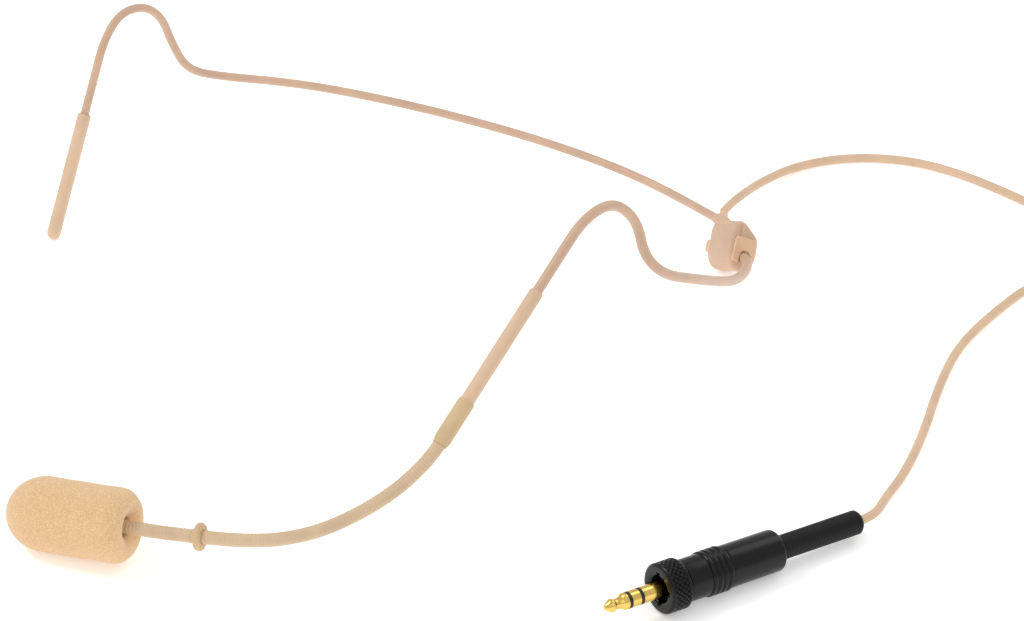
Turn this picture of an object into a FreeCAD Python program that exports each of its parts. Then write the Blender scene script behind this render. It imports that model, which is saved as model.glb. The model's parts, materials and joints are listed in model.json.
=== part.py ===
import FreeCAD, Part
import math
import os

import Sketcher
from FreeCAD import Placement, Rotation, Vector

# Headset microphone, in millimetres. +Z is up, -Y is the wearer's forward and +X the wearer's left.
# It stands on the windscreen, the foot of the far rod and the junction block. The origin is on the
# floor under the middle of the headset; the lead and its plug lie on the floor beside it.

SIZES = {
    # frame
    "frame_tube_diameter": 2.2, "frame_tube_bore": 1.3, "band_diameter": 1.9, "band_core_diameter": 1.1,
    "rod_sleeve_diameter": 3.0, "rod_sleeve_length": 29.0, "fit_gap": 0.05,
    # boom
    "collar_diameter": 3.6, "collar_length": 10.3, "collar_tip_diameter": 3.1, "collar_grip": 5.0,
    "gooseneck_diameter": 2.8, "gooseneck_bore": 1.9, "boom_core_diameter": 0.75, "bend_gap": 1.2,
    "stop_ring_diameter": 5.8, "stop_ring_section": 1.42,
    # microphone
    "windscreen_diameter": 15.4, "windscreen_length": 27.4, "windscreen_mouth": 11.0,
    "housing_diameter": 4.0, "housing_wall": 0.35, "housing_length": 10.0, "housing_start": 7.2,
    "grille_thickness": 0.8, "capsule_diameter": 3.1, "capsule_length": 2.6,
    "ferrule_diameter": 3.5, "ferrule_length": 2.8,
    # junction block
    "block_length": 9.4, "block_rounding": 1.2, "block_wall": 1.3, "holder_side": 5.6, "holder_length": 6.3,
    "holder_slot": 3.0, "stub_side": 2.8, "stub_length": 5.9, "bush_diameter": 2.3, "bush_boss_diameter": 2.7,
    "bush_length": 5.5, "splice_diameter": 2.2, "splice_length": 3.6, "gland_diameter": 3.4,
    "gland_tip_diameter": 2.6,
    # lead
    "lead_diameter": 1.9, "mic_lead_diameter": 0.9, "coil_mean_radius": 11.0, "coil_section": 8.0,
    "tie_thickness": 0.6, "tie_width": 4.0,
    # plug, measured along its axis from the tip of the contact
    "contact_diameter": 3.5, "contact_length": 17.0, "tip_length": 5.1, "insulator_length": 0.8,
    "ring_contact_length": 2.0, "pin_diameter": 1.0, "core_diameter": 2.0,
    "lock_ring_diameter": 10.5, "lock_ring_start": 13.2, "lock_ring_length": 5.0,
    "lock_thread_bore": 5.6, "lock_seat_diameter": 7.3, "lock_seat_depth": 2.4,
    "front_body_diameter": 8.8, "front_body_end": 23.5, "shell_start": 23.6, "shell_end": 42.3,
    "shell_diameter": 8.8, "shell_tail_diameter": 8.4, "shell_bore": 7.0, "ridge_diameter": 9.4,
    "ridge_pitch": 1.3, "relief_diameter": 5.0, "relief_end": 63.2, "relief_flange_diameter": 6.8,
}

# The ear hooks lie in two planes that lean the same way: x = plane_x - LEAN * z.
LEAN = math.tan(math.radians(7.0))
NEAR_PLANE_X, FAR_PLANE_X = 78.4, -74.7
GOOSENECK_ARC_SHARE = 0.4      # leaves a straight middle in each run, for the bends between sections
ARC_SHARE = 0.45

doc = FreeCAD.newDocument("headset_microphone")
sheet = doc.addObject("Spreadsheet::Sheet", "Sizes")
for row, (alias, number) in enumerate(SIZES.items(), start=1):
    sheet.set("A%d" % row, alias)
    sheet.set("B%d" % row, str(number))
    sheet.setAlias("B%d" % row, alias)
doc.recompute()

pieces = []


def size(alias):
    """The number that the sheet holds under this alias."""
    return float(sheet.get(alias))


def keep(piece, label):
    """Lists a finished sub-part under the name that its file gets."""
    piece.Label = label
    pieces.append(piece)
    return piece


# ---- placing ----

MIDDLE = Vector(1.94, -0.23, 0)       # brings the headset's middle over the origin


def near_hook_point(y, z):
    return Vector(NEAR_PLANE_X - LEAN * z, y, z)


def far_hook_point(y, z):
    return Vector(FAR_PLANE_X - LEAN * z, y, z)


def unit(vector):
    return Vector(vector).normalize()


def along(start, direction, distance=0.0):
    """A frame whose Z axis runs along direction, at a distance from start."""
    step = unit(direction)
    return Placement(start + step * distance, Rotation(Vector(0, 0, 1), step))


# ---- kinds of sub-part ----

def bind(piece, **expressions):
    """Ties sizes to the sheet; a bare word stands for the cell of that name."""
    for name, expression in expressions.items():
        piece.setExpression(name, expression)
    return piece


def primitive(kind, name, place, **expressions):
    """A Part primitive whose sizes are bound to the sheet."""
    piece = bind(doc.addObject("Part::" + kind, name), **expressions)
    piece.Placement = place
    return piece


def join(label, shapes):
    whole = doc.addObject("Part::MultiFuse", label)
    whole.Shapes = shapes
    return whole


def less(label, base, tool):
    rest = doc.addObject("Part::Cut", label)
    rest.Base, rest.Tool = base, tool
    return rest


def shared(label, first, second):
    common = doc.addObject("Part::Common", label)
    common.Base, common.Tool = first, second
    return common


def origin_plane(body, role):
    return next(plane for plane in body.Origin.OriginFeatures if plane.Role == role)


def turned(label, outline, place):
    """A body turned about its own Z axis. Each corner is a pair of sheet expressions: radius, height."""
    body = doc.addObject("PartDesign::Body", label)
    sketch = body.newObject("Sketcher::SketchObject", label + "_outline")
    sketch.AttachmentSupport = [(origin_plane(body, "XZ_Plane"), "")]
    sketch.MapMode = "FlatFace"
    count = len(outline)
    rough = [Vector(1 + math.cos(2 * math.pi * i / count), math.sin(2 * math.pi * i / count), 0)
             for i in range(count)]
    for i in range(count):
        sketch.addGeometry(Part.LineSegment(rough[i], rough[(i + 1) % count]), False)
    for i in range(count):
        sketch.addConstraint(Sketcher.Constraint("Coincident", i, 2, (i + 1) % count, 1))
    for i, (radius, height) in enumerate(outline):
        if radius == "0":
            sketch.addConstraint(Sketcher.Constraint("PointOnObject", i, 1, -2))
        else:
            across = sketch.addConstraint(Sketcher.Constraint("DistanceX", -1, 1, i, 1, rough[i].x + 1))
            sketch.setExpression("Constraints[%d]" % across, radius)
        if height == "0":
            sketch.addConstraint(Sketcher.Constraint("PointOnObject", i, 1, -1))
        else:
            up = sketch.addConstraint(Sketcher.Constraint("DistanceY", -1, 1, i, 1, rough[i].y + 2))
            sketch.setExpression("Constraints[%d]" % up, height)
    turn = body.newObject("PartDesign::Revolution", label + "_turn")
    turn.Profile = sketch
    turn.ReferenceAxis = (sketch, ["V_Axis"])
    turn.Angle = 360
    body.Placement = place
    return keep(body, label)


def sleeve(outer, inner, start, end):
    """The outline of a plain tube wall."""
    return [(inner, start), (outer, start), (outer, end), (inner, end)]


def corner_arcs(points, share):
    """For each inner point, the start, middle and end of its arc, as large as its runs allow."""
    arcs = []
    for before, corner, after in zip(points, points[1:], points[2:]):
        back, on = before - corner, after - corner
        reach = share * min(back.Length, on.Length)
        half_turn = (math.pi - back.getAngle(on)) / 2
        radius = reach / math.tan(half_turn)
        inward = unit(unit(back) + unit(on))
        middle = corner + inward * (radius / math.cos(half_turn) - radius)
        arcs.append((corner + unit(back) * reach, middle, corner + unit(on) * reach, radius))
    return arcs


def path(start, arcs, end):
    """Straight runs and tangent arcs from start to end, as one wire."""
    edges, last = [], start
    for first, middle, second, _ in arcs:
        edges.append(Part.LineSegment(last, first).toShape())
        edges.append(Part.Arc(first, middle, second).toShape())
        last = second
    edges.append(Part.LineSegment(last, end).toShape())
    return Part.Wire(edges)


def round_bar(wire, diameter):
    """A solid bar of round section along a wire."""
    start = wire.Edges[0].valueAt(wire.Edges[0].FirstParameter)
    heading = wire.Edges[0].tangentAt(wire.Edges[0].FirstParameter)
    section = Part.Wire([Part.Circle(start, heading, diameter / 2).toShape()])
    bar = wire.makePipeShell([section], True, False)
    expected = math.pi * diameter ** 2 / 4 * wire.Length
    if abs(bar.Volume - expected) > 0.01 * expected:
        raise ValueError("a swept bar has the wrong volume: %.2f, not %.2f" % (bar.Volume, expected))
    return bar


def routed(label, wire, diameter, bore=0.0):
    """A bar or tube along a wire, as a feature of its own."""
    piece = doc.addObject("Part::Feature", label)
    shape = round_bar(wire, diameter)
    piece.Shape = shape.cut(round_bar(wire, bore)) if bore else shape
    return keep(piece, label)


def whole_path(points, share=ARC_SHARE):
    return path(points[0], corner_arcs(points, share), points[-1])


# ---- routes ----

NEAR_HOOK = [near_hook_point(y, z) for y, z in
             [(13.5, 55.8), (19.4, 57.6), (24.1, 56.5), (28.7, 51.1), (29.7, 43.2), (34.7, 37.1)]]
SLEEVE_FOOT = near_hook_point(-19.6, 28.6)
ROD_AXIS = unit(NEAR_HOOK[0] - SLEEVE_FOOT)
ROD_START = SLEEVE_FOOT - ROD_AXIS * 4.8       # the frame tube starts inside the collar
COLLAR_TIP = SLEEVE_FOOT - ROD_AXIS * size("collar_length")
NEAR_ARM = [Vector(70.5, 46.5, 30.5), Vector(62.5, 61.5, 21.0), Vector(53.5, 74.5, 12.5),
            Vector(48.1, 82.8, 8.6)]

# The junction block has its own frame: x along the frame wires, towards the boom's side.
BLOCK_CENTRE = Vector(35.0, 91.5, 6.5)
BLOCK_X, BLOCK_Y = Vector(0.9086, -0.1271, 0.3979), Vector(0.3176, 0.829, -0.4604)
BLOCK = Placement(BLOCK_CENTRE, Rotation(BLOCK_X, BLOCK_Y, Vector(), "XYZ"))
BLOCK_SECTION = [(-2.9, 5.2), (-1.3, 5.4), (3.2, 2.4), (3.6, -2.6), (1.6, -5.5), (-1.8, -5.5), (-3.5, -3.3),
                 (-3.9, 3.4)]                  # corners (y, z) of the body, in the block's frame
HOLDER_Y, HOLDER_Z, HOLDER_END = -0.15, -0.85, 5.3
STUB_Y, STUB_Z, STUB_END = -1.7, -0.75, -6.9
TUBE_Y = 0.15                                  # the frame tube lies a little off the holder's middle
TUBE_MOUTH = BLOCK.multVec(Vector(HOLDER_END, TUBE_Y, -2.3))
TUBE_END = BLOCK.multVec(Vector(3.0, TUBE_Y, -1.95))
TUBE_BEND = BLOCK.multVec(Vector(7.4, TUBE_Y, -2.6))
NEAR_FRAME = [ROD_START] + NEAR_HOOK + NEAR_ARM + [TUBE_BEND, TUBE_END]

FAR_FOOT = far_hook_point(-13.0, 0.25)
FAR_ROD_TOP = far_hook_point(-0.2, 26.2)
FAR_ROD_AXIS = unit(FAR_ROD_TOP - FAR_FOOT)
FAR_HOOK = [far_hook_point(y, z) for y, z in
            [(7.0, 40.8), (12.0, 45.9), (18.8, 45.8), (23.5, 41.5), (25.3, 34.7), (28.6, 27.4),
             (36.5, 23.2)]]
BAND = [Vector(-68.5, 52.5, 19.5), Vector(-54.0, 66.0, 16.5), Vector(-36.0, 78.3, 13.6),
        Vector(-18.0, 87.3, 11.4), Vector(0.0, 92.7, 10.0), Vector(16.44, 95.58, 8.2)]
BAND_ENTRY = BLOCK.multVec(Vector(-5.2, -2.65, 5.49))
BAND_AXIS = unit(BAND_ENTRY - BAND[-1])
BAND_END = BAND_ENTRY + BAND_AXIS * 7.6
FAR_FRAME = [FAR_FOOT + FAR_ROD_AXIS * 2.5] + FAR_HOOK + BAND + [BAND_END]

WINDSCREEN_MOUTH = Vector(43.4, -80.75, 9.1)
MIC_AXIS = unit(Vector(-0.893, -0.4436, -0.072))
BOOM = [COLLAR_TIP + ROD_AXIS * 0.8, COLLAR_TIP - ROD_AXIS * 1.2, Vector(75.6, -32.2, 18.6), Vector(75.0, -38.5, 15.3),
        Vector(73.7, -47.5, 12.7), Vector(71.7, -57.6, 11.4), Vector(66.6, -67.4, 11.2),
        Vector(50.9, -76.4, 9.4), WINDSCREEN_MOUTH - MIC_AXIS * 1.0, WINDSCREEN_MOUTH + MIC_AXIS * 7.0]
BEND_RUNS = (3, 5)                             # the runs of the boom whose middles bend

GLAND_FOOT, GLAND_TIP = BLOCK.multVec(Vector(-2.4, 1.5, 0.9)), Vector(27.6, 96.3, 6.85)
LEAD_FROM_BLOCK = [GLAND_TIP, Vector(23.6, 98.5, 7.3), Vector(20.7, 103.2, 6.3), Vector(17.5, 109.0, 4.95),
                   Vector(12.8, 119.6, 2.8), Vector(9.6, 134.2, 0.95), Vector(14.4, 146.4, 0.95),
                   Vector(23.8, 155.6, 0.95), Vector(36.0, 160.2, 0.95), Vector(50.0, 161.8, 0.95),
                   Vector(61.0, 162.2, 0.95), Vector(68.5, 166.4, 0.95), Vector(73.6, 173.6, 0.95),
                   Vector(81.6, 176.4, 2.0)]
COIL_CENTRE = Vector(86.0, 164.0, 0.6)

PLUG_TIP = Vector(123.8, -26.2, 6.3)
PLUG_AXIS = unit(Vector(0.107, 0.9933, -0.0435))
PLUG = along(PLUG_TIP, PLUG_AXIS)
LEAD_EXIT = PLUG.multVec(Vector(0, 0, size("relief_end")))
LEAD_TO_PLUG = [Vector(97.0, 155.0, 1.5), Vector(91.5, 146.8, 0.95), Vector(82.6, 138.0, 0.95),
                Vector(86.0, 122.0, 0.95), Vector(91.2, 105.0, 0.95), Vector(100.8, 89.3, 0.95),
                Vector(111.9, 74.0, 0.95), Vector(120.4, 60.2, 0.95), Vector(126.2, 48.8, 2.2),
                LEAD_EXIT + PLUG_AXIS * 4.3, LEAD_EXIT]


# ---- frame ----

def near_frame():
    wire = whole_path(NEAR_FRAME)
    tube = size("frame_tube_diameter")
    routed("near_frame_tube", wire, tube, size("frame_tube_bore"))
    routed("microphone_lead", wire, size("mic_lead_diameter"))
    place = along(ROD_START, ROD_AXIS)
    bore = "(Sizes.frame_tube_diameter / 2) + 0.01"
    rod = "Sizes.rod_sleeve_diameter / 2"
    turned("near_rod_sleeve", [(bore, "0"), (rod, "0"), (rod, "31"), (rod + " - 0.25", "31.5"),
                               (bore, "31.6")], place)


def far_frame():
    wire = whole_path(FAR_FRAME)
    band = size("band_diameter")
    routed("band_coating", wire, band, size("band_core_diameter"))
    routed("band_core_wire", wire, size("band_core_diameter"))
    rod = "Sizes.rod_sleeve_diameter / 2"
    bore = "Sizes.band_diameter / 2 + 0.01"
    top = "Sizes.rod_sleeve_length"
    turned("far_rod_sleeve", [("0", "0"), (rod + " * 0.5", "0.2"), (rod + " * 0.87", "0.75"),
                              (rod, "1.5"), (rod, top + " - 0.5"), (rod + " - 0.25", top),
                              (bore, top), (bore, "2.5"), ("0", "2.5")], along(FAR_FOOT, FAR_ROD_AXIS))


# ---- boom ----

def bend_points():
    """The middles of the runs where the gooseneck bends."""
    return [(BOOM[run] + BOOM[run + 1]) * 0.5 for run in BEND_RUNS]


def gooseneck():
    """Three sections of one gooseneck, with a short gap at each bend, each with its wire and lead."""
    arcs = corner_arcs(BOOM, GOOSENECK_ARC_SHARE)
    half_gap = size("bend_gap") / 2
    bends = bend_points()
    steps = [unit(BOOM[run + 1] - BOOM[run]) * half_gap for run in BEND_RUNS]
    starts = [BOOM[0]] + [bend + step for bend, step in zip(bends, steps)]
    ends = [bend - step for bend, step in zip(bends, steps)] + [BOOM[-1]]
    first_arcs = [0] + list(BEND_RUNS)
    last_arcs = list(BEND_RUNS) + [len(arcs)]
    for name, start, end, first, last in zip(("inner", "middle", "outer"), starts, ends,
                                             first_arcs, last_arcs):
        wire = path(start, arcs[first:last], end)
        routed("gooseneck_" + name, wire, size("gooseneck_diameter"), size("gooseneck_bore"))
        apart = unit((end - start).cross(Vector(0, 0, 1))) * 0.43
        for part, offset in (("core", apart), ("lead", apart * -1)):
            line = wire.copy()
            line.translate(offset)
            routed("boom_%s_%s" % (part, name), line, size("boom_core_diameter"))


def collar():
    place = along(SLEEVE_FOOT, ROD_AXIS * -1)
    grip, length = "Sizes.collar_grip", "Sizes.collar_length"
    outer, tip = "Sizes.collar_diameter / 2", "Sizes.collar_tip_diameter / 2"
    upper = "Sizes.rod_sleeve_diameter / 2 + Sizes.fit_gap"
    lower = "Sizes.gooseneck_diameter / 2 + 0.01"
    turned("boom_collar", [(upper, "0"), (outer, "0"), (outer, length + " - 1.1"), (tip, length),
                           (lower, length), (lower, grip), (upper, grip)], place)
    turned("boom_foot_ferrule", sleeve("Sizes.gooseneck_diameter / 2", "Sizes.mic_lead_diameter / 2 + 0.1",
                                       grip + " + 0.1", length + " - 0.9"), place)


def stop_ring():
    run = BOOM[7] - BOOM[6]
    at = BOOM[6] + unit(run) * 12.1
    ring = primitive("Torus", "stop_ring_round", along(at, run),
                     Radius1="(Sizes.stop_ring_diameter - Sizes.stop_ring_section) / 2",
                     Radius2="Sizes.stop_ring_section / 2")
    clear = primitive("Cylinder", "stop_ring_bore", along(at, run, -3),
                      Radius="Sizes.gooseneck_diameter / 2 + Sizes.fit_gap", Height="6")
    keep(less("stop_ring", ring, clear), "stop_ring")


# ---- microphone ----

def microphone():
    place = along(WINDSCREEN_MOUTH, MIC_AXIS)
    start = "Sizes.housing_start"
    end = start + " + Sizes.housing_length"
    outer, wall = "Sizes.housing_diameter / 2", "Sizes.housing_wall"
    inner = outer + " - " + wall
    neck = "Sizes.gooseneck_diameter / 2 + 0.01"
    ferrule = "Sizes.ferrule_diameter / 2"
    turned("tip_ferrule", sleeve(ferrule, neck, "4.2", "4.2 + Sizes.ferrule_length"), place)
    turned("capsule_housing", [("Sizes.mic_lead_diameter / 2 + 0.2", start), (outer + " - 0.4", start),
                               (outer, start + " + 0.4"), (outer, end), (inner, end),
                               (inner, start + " + " + wall),
                               ("Sizes.mic_lead_diameter / 2 + 0.2", start + " + " + wall)], place)
    capsule = "Sizes.capsule_diameter / 2"
    front = end + " - Sizes.capsule_length - 0.6"
    turned("electret_capsule", [("0", front), (capsule, front), (capsule, end + " - 0.6"),
                                ("0", end + " - 0.6")], place)
    turned("capsule_gasket", sleeve(inner + " - 0.01", "1.15", end + " - 0.55", end + " - 0.05"), place)
    plate = primitive("Cylinder", "grille_plate", along(WINDSCREEN_MOUTH, MIC_AXIS,
                                                        size("housing_start") + size("housing_length")),
                      Radius=outer, Height="Sizes.grille_thickness")
    holes = []
    for count, radius in ((1, 0.0), (6, 0.75), (9, 1.4)):
        for i in range(count):
            turn = 2 * math.pi * i / count
            at = plate.Placement.multVec(Vector(radius * math.cos(turn), radius * math.sin(turn), -1))
            holes.append(primitive("Cylinder", "grille_hole", along(at, MIC_AXIS), Radius="0.22", Height="4"))
    keep(less("capsule_grille", plate, join("grille_holes", holes)), "capsule_grille")


def windscreen():
    """A foam body with a domed front, a rounded back, a funnel mouth and a bore for the capsule."""
    radius, length = size("windscreen_diameter") / 2, size("windscreen_length")
    bore = size("housing_diameter") / 2 + size("fit_gap")
    mouth, funnel, bore_end = size("windscreen_mouth") / 2, 1.3, 19.0
    dome, shoulder = 8.5, 3.0
    back = Part.Arc(Vector(mouth, 0, 0), Vector(mouth + 0.78 * (radius - mouth), 0, 0.32 * shoulder),
                    Vector(radius, 0, shoulder)).toShape()
    tip = Part.Ellipse(Vector(0, 0, length), Vector(radius, 0, length - dome), Vector(0, 0, length - dome))
    front = Part.ArcOfEllipse(tip, 0, math.pi / 2).toShape()
    low, high = sorted(front.Vertexes, key=lambda corner: corner.Z)
    corners = [high.Point, Vector(0, 0, bore_end), Vector(bore, 0, bore_end), Vector(bore, 0, funnel),
               Vector(mouth, 0, 0)]
    edges = [Part.LineSegment(a, b).toShape() for a, b in zip(corners, corners[1:])]
    edges += [back, Part.LineSegment(Vector(radius, 0, shoulder), low.Point).toShape(), front]
    outline = Part.Face(Part.Wire(Part.__sortEdges__(edges)))
    piece = doc.addObject("Part::Feature", "windscreen")
    piece.Shape = outline.revolve(Vector(), Vector(0, 0, 1), 360)
    piece.Placement = along(WINDSCREEN_MOUTH, MIC_AXIS)
    keep(piece, "windscreen")


# ---- junction block ----

def block_box(name, extents, middle=(0, 0, 0)):
    """A box about a middle point, in the block's frame; extents are sheet expressions."""
    box = doc.addObject("Part::Box", name)
    bind(box, Length=extents[0], Width=extents[1], Height=extents[2])
    doc.recompute()
    corner = Vector(*middle) - Vector(box.Length.Value, box.Width.Value, box.Height.Value) * 0.5
    box.Placement = BLOCK.multiply(Placement(corner, Rotation()))
    return box


def block_body(name, share, length):
    """The body's eight-sided section, at a share of its size, drawn out to both sides of its middle."""
    corners = [Vector(-length / 2, y * share, z * share) for y, z in BLOCK_SECTION]
    whole = Part.Face(Part.makePolygon(corners + corners[:1])).extrude(Vector(length, 0, 0))
    piece = doc.addObject("Part::Feature", name)
    piece.Shape = whole
    piece.Placement = BLOCK
    return piece


def junction_block():
    """Two shells parted across the block's length, around the holder, the bush and the gland."""
    length, wall = size("block_length"), size("block_wall")
    whole = block_body("block_body", 1.0, length)
    whole.Shape = whole.Shape.makeFillet(size("block_rounding"), whole.Shape.Edges)
    boss = primitive("Cylinder", "bush_boss", along(BAND_ENTRY, BAND_AXIS, 0.4),
                     Radius="Sizes.bush_boss_diameter / 2", Height="Sizes.bush_length")
    hollow = block_body("block_hollow", 1 - wall / 4.2, length - 2 * wall)
    side, stub = "Sizes.holder_side", "Sizes.stub_side"
    holder_middle = (HOLDER_END - size("holder_length") / 2, HOLDER_Y, HOLDER_Z)
    stub_middle = (STUB_END + size("stub_length") / 2, STUB_Y, STUB_Z)
    holder_way = block_box("holder_way", ("Sizes.holder_length + 0.2", side + " + 0.1", side + " + 0.1"),
                           holder_middle)
    stub_way = block_box("stub_way", ("Sizes.stub_length + 0.2", stub + " + 0.1", stub + " + 0.1"), stub_middle)
    bush_way = primitive("Cylinder", "bush_way", along(BAND_ENTRY, BAND_AXIS, -1),
                         Radius="Sizes.bush_diameter / 2 + 0.02", Height="Sizes.bush_length + 1.6")
    band_way = primitive("Cylinder", "band_way", along(BAND_ENTRY, BAND_AXIS), Radius="1.05", Height="9.3")
    gland_way = primitive("Cylinder", "gland_way", along(GLAND_FOOT, GLAND_TIP - GLAND_FOOT, -0.5),
                          Radius="Sizes.gland_diameter / 2 + 0.02", Height="12")
    openings = join("block_ways", [hollow, holder_way, stub_way, bush_way, band_way, gland_way])
    shell = less("block_shell", join("block_solid", [whole, boss]), openings)
    for label, side_sign in (("junction_shell_far", -1), ("junction_shell_near", 1)):
        half = block_box(label + "_half", ("15", "30", "30"), (7.5 * side_sign, 0, 0))
        keep(shared(label, shell, half), label)

    body = block_box("holder_body", ("Sizes.holder_length", side, side), holder_middle)
    rounded = doc.addObject("Part::Fillet", "holder_rounded")
    rounded.Base = body
    rounded.Edges = [(i, 0.9, 0.9) for i in range(1, 13)]
    tail = block_box("holder_stub", ("Sizes.stub_length", stub, stub), stub_middle)
    rounded_tail = doc.addObject("Part::Fillet", "stub_rounded")
    rounded_tail.Base = tail
    rounded_tail.Edges = [(i, 0.9, 0.9) for i in range(1, 13)]
    link = block_box("holder_link", ("2.4", stub + " - 1", stub + " - 1"), (STUB_END + size("stub_length"),
                                                                            STUB_Y, STUB_Z))
    tube_way = primitive("Cylinder", "holder_tube_way",
                         along(TUBE_END, TUBE_BEND - TUBE_END), Radius="Sizes.frame_tube_diameter / 2 + 0.02",
                         Height="12")
    arch = primitive("Cylinder", "holder_arch", along(TUBE_MOUTH, BLOCK_X, -1.6),
                     Radius="Sizes.holder_slot / 2", Height="6")
    foot = block_box("holder_foot_slot", ("6", "Sizes.holder_slot", "4"),
                     (HOLDER_END + 1.4, TUBE_Y, -2.3 - 2))
    splice_way = primitive("Cylinder", "holder_splice_way", along(TUBE_END, BLOCK_X * -1),
                           Radius="Sizes.splice_diameter / 2 + 0.1", Height="Sizes.splice_length + 0.3")
    keep(less("wire_holder", join("holder_solid", [rounded, rounded_tail, link]),
              join("holder_ways", [tube_way, arch, foot, splice_way])), "wire_holder")
    turned("lead_splice", [("0", "0.25"), ("Sizes.splice_diameter / 2", "0.25"),
                           ("Sizes.splice_diameter / 2", "Sizes.splice_length"),
                           ("0", "Sizes.splice_length")], along(TUBE_END, BLOCK_X * -1))
    turned("band_bush", sleeve("Sizes.bush_diameter / 2", "Sizes.band_diameter / 2 + Sizes.fit_gap", "0",
                               "Sizes.bush_length"), along(BAND_ENTRY, BAND_AXIS, 0.5))
    gland = "Sizes.gland_diameter / 2"
    tip = "Sizes.gland_tip_diameter / 2"
    length = "%.3f" % (GLAND_TIP - GLAND_FOOT).Length
    turned("cable_gland", [("0", "0"), (gland, "0"), (gland, "3.4"), (tip, length), ("0", length)],
           along(GLAND_FOOT, GLAND_TIP - GLAND_FOOT))


# ---- lead ----

def lead():
    """Two free stretches of the lead, the coil of its put-away length, and the coil's tie."""
    for label, points in (("lead_from_block", LEAD_FROM_BLOCK), ("lead_to_plug", LEAD_TO_PLUG)):
        arcs = corner_arcs(points, ARC_SHARE)
        print(label, "radii", [round(arc[3], 1) for arc in arcs])
        routed(label, path(points[0], arcs, points[-1]), size("lead_diameter"))
    mean, half = "Sizes.coil_mean_radius", "Sizes.coil_section / 2"
    outer, inner = mean + " + " + half, mean + " - " + half
    high = "Sizes.coil_section"
    turned("lead_coil", [(inner + " + 1", "0"), (outer + " - 1", "0"), (outer, "1"), (outer, high + " - 1"),
                         (outer + " - 1", high), (inner + " + 1", high), (inner, high + " - 1"),
                         (inner, "1")], Placement(COIL_CENTRE, Rotation()))
    clear = size("coil_section") + 0.1
    band = size("tie_thickness")
    at = COIL_CENTRE + Vector(size("coil_mean_radius"), 0, size("coil_section") / 2)
    outside = primitive("Box", "tie_outside",
                        Placement(at - Vector(clear / 2 + band, 2, clear / 2 + band - 0.05), Rotation()),
                        Length="Sizes.coil_section + 0.1 + 2 * Sizes.tie_thickness",
                        Width="Sizes.tie_width",
                        Height="Sizes.coil_section + 0.1 + 2 * Sizes.tie_thickness")
    inside = primitive("Box", "tie_inside", Placement(at - Vector(clear / 2, 3, clear / 2 - 0.05), Rotation()),
                       Length="Sizes.coil_section + 0.1", Width="Sizes.tie_width + 2",
                       Height="Sizes.coil_section + 0.1")
    keep(less("lead_tie", outside, inside), "lead_tie")


# ---- plug ----

def contacts():
    outer, core = "Sizes.contact_diameter / 2", "Sizes.core_diameter / 2"
    pin = "Sizes.pin_diameter / 2"
    tip_end = "Sizes.tip_length"
    front_end = tip_end + " + Sizes.insulator_length"
    ring_end = front_end + " + Sizes.ring_contact_length"
    rear_end = ring_end + " + Sizes.insulator_length"
    end = "Sizes.contact_length"
    turned("plug_tip_contact", [("0", "0"), ("0.7", "0.15"), ("1.2", "0.8"), ("1.42", "1.7"),
                                ("1.42", "2.3"), ("1.22", "3.1"), ("1.26", "3.5"), (outer, "4.4"),
                                (outer, tip_end), (pin, tip_end), (pin, "3"), ("0", "3")], PLUG)
    turned("plug_pin", [("0", "3.05"), (pin + " - 0.02", "3.05"), (pin + " - 0.02", end + " + 1.5"),
                        ("0", end + " + 1.5")], PLUG)
    turned("plug_core", sleeve(core + " - 0.02", pin, tip_end, end), PLUG)
    turned("plug_front_insulator", sleeve(outer, core, tip_end, front_end), PLUG)
    turned("plug_ring_contact", sleeve(outer, core, front_end, ring_end), PLUG)
    turned("plug_rear_insulator", sleeve(outer, core, ring_end, rear_end), PLUG)
    hidden = outer + " - 0.25"                 # the stretch inside the front body
    step = "Sizes.lock_ring_start + Sizes.lock_ring_length - 1.75"
    turned("plug_sleeve_contact", [(core, rear_end), (outer, rear_end),
                                   (outer, step), (hidden, step), (hidden, end), (core, end)], PLUG)


def locking_ring():
    outer, thread = "Sizes.lock_ring_diameter / 2", "Sizes.lock_thread_bore / 2"
    seat, start = "Sizes.lock_seat_diameter / 2", "Sizes.lock_ring_start"
    end = start + " + Sizes.lock_ring_length"
    step = end + " - Sizes.lock_seat_depth"
    turned("locking_ring", [(thread + " + 0.35", start), (outer + " - 0.35", start),
                            (outer, start + " + 0.35"), (outer, end + " - 0.35"),
                            (outer + " - 0.35", end), (seat, end), (seat, step), (thread, step),
                            (thread, start + " + 0.35")], PLUG)
    turned("lock_ring_clip", sleeve(seat + " - 0.1", "Sizes.contact_diameter / 2 + 0.6",
                                    step + " + 0.1", step + " + 0.6"), PLUG)


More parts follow.
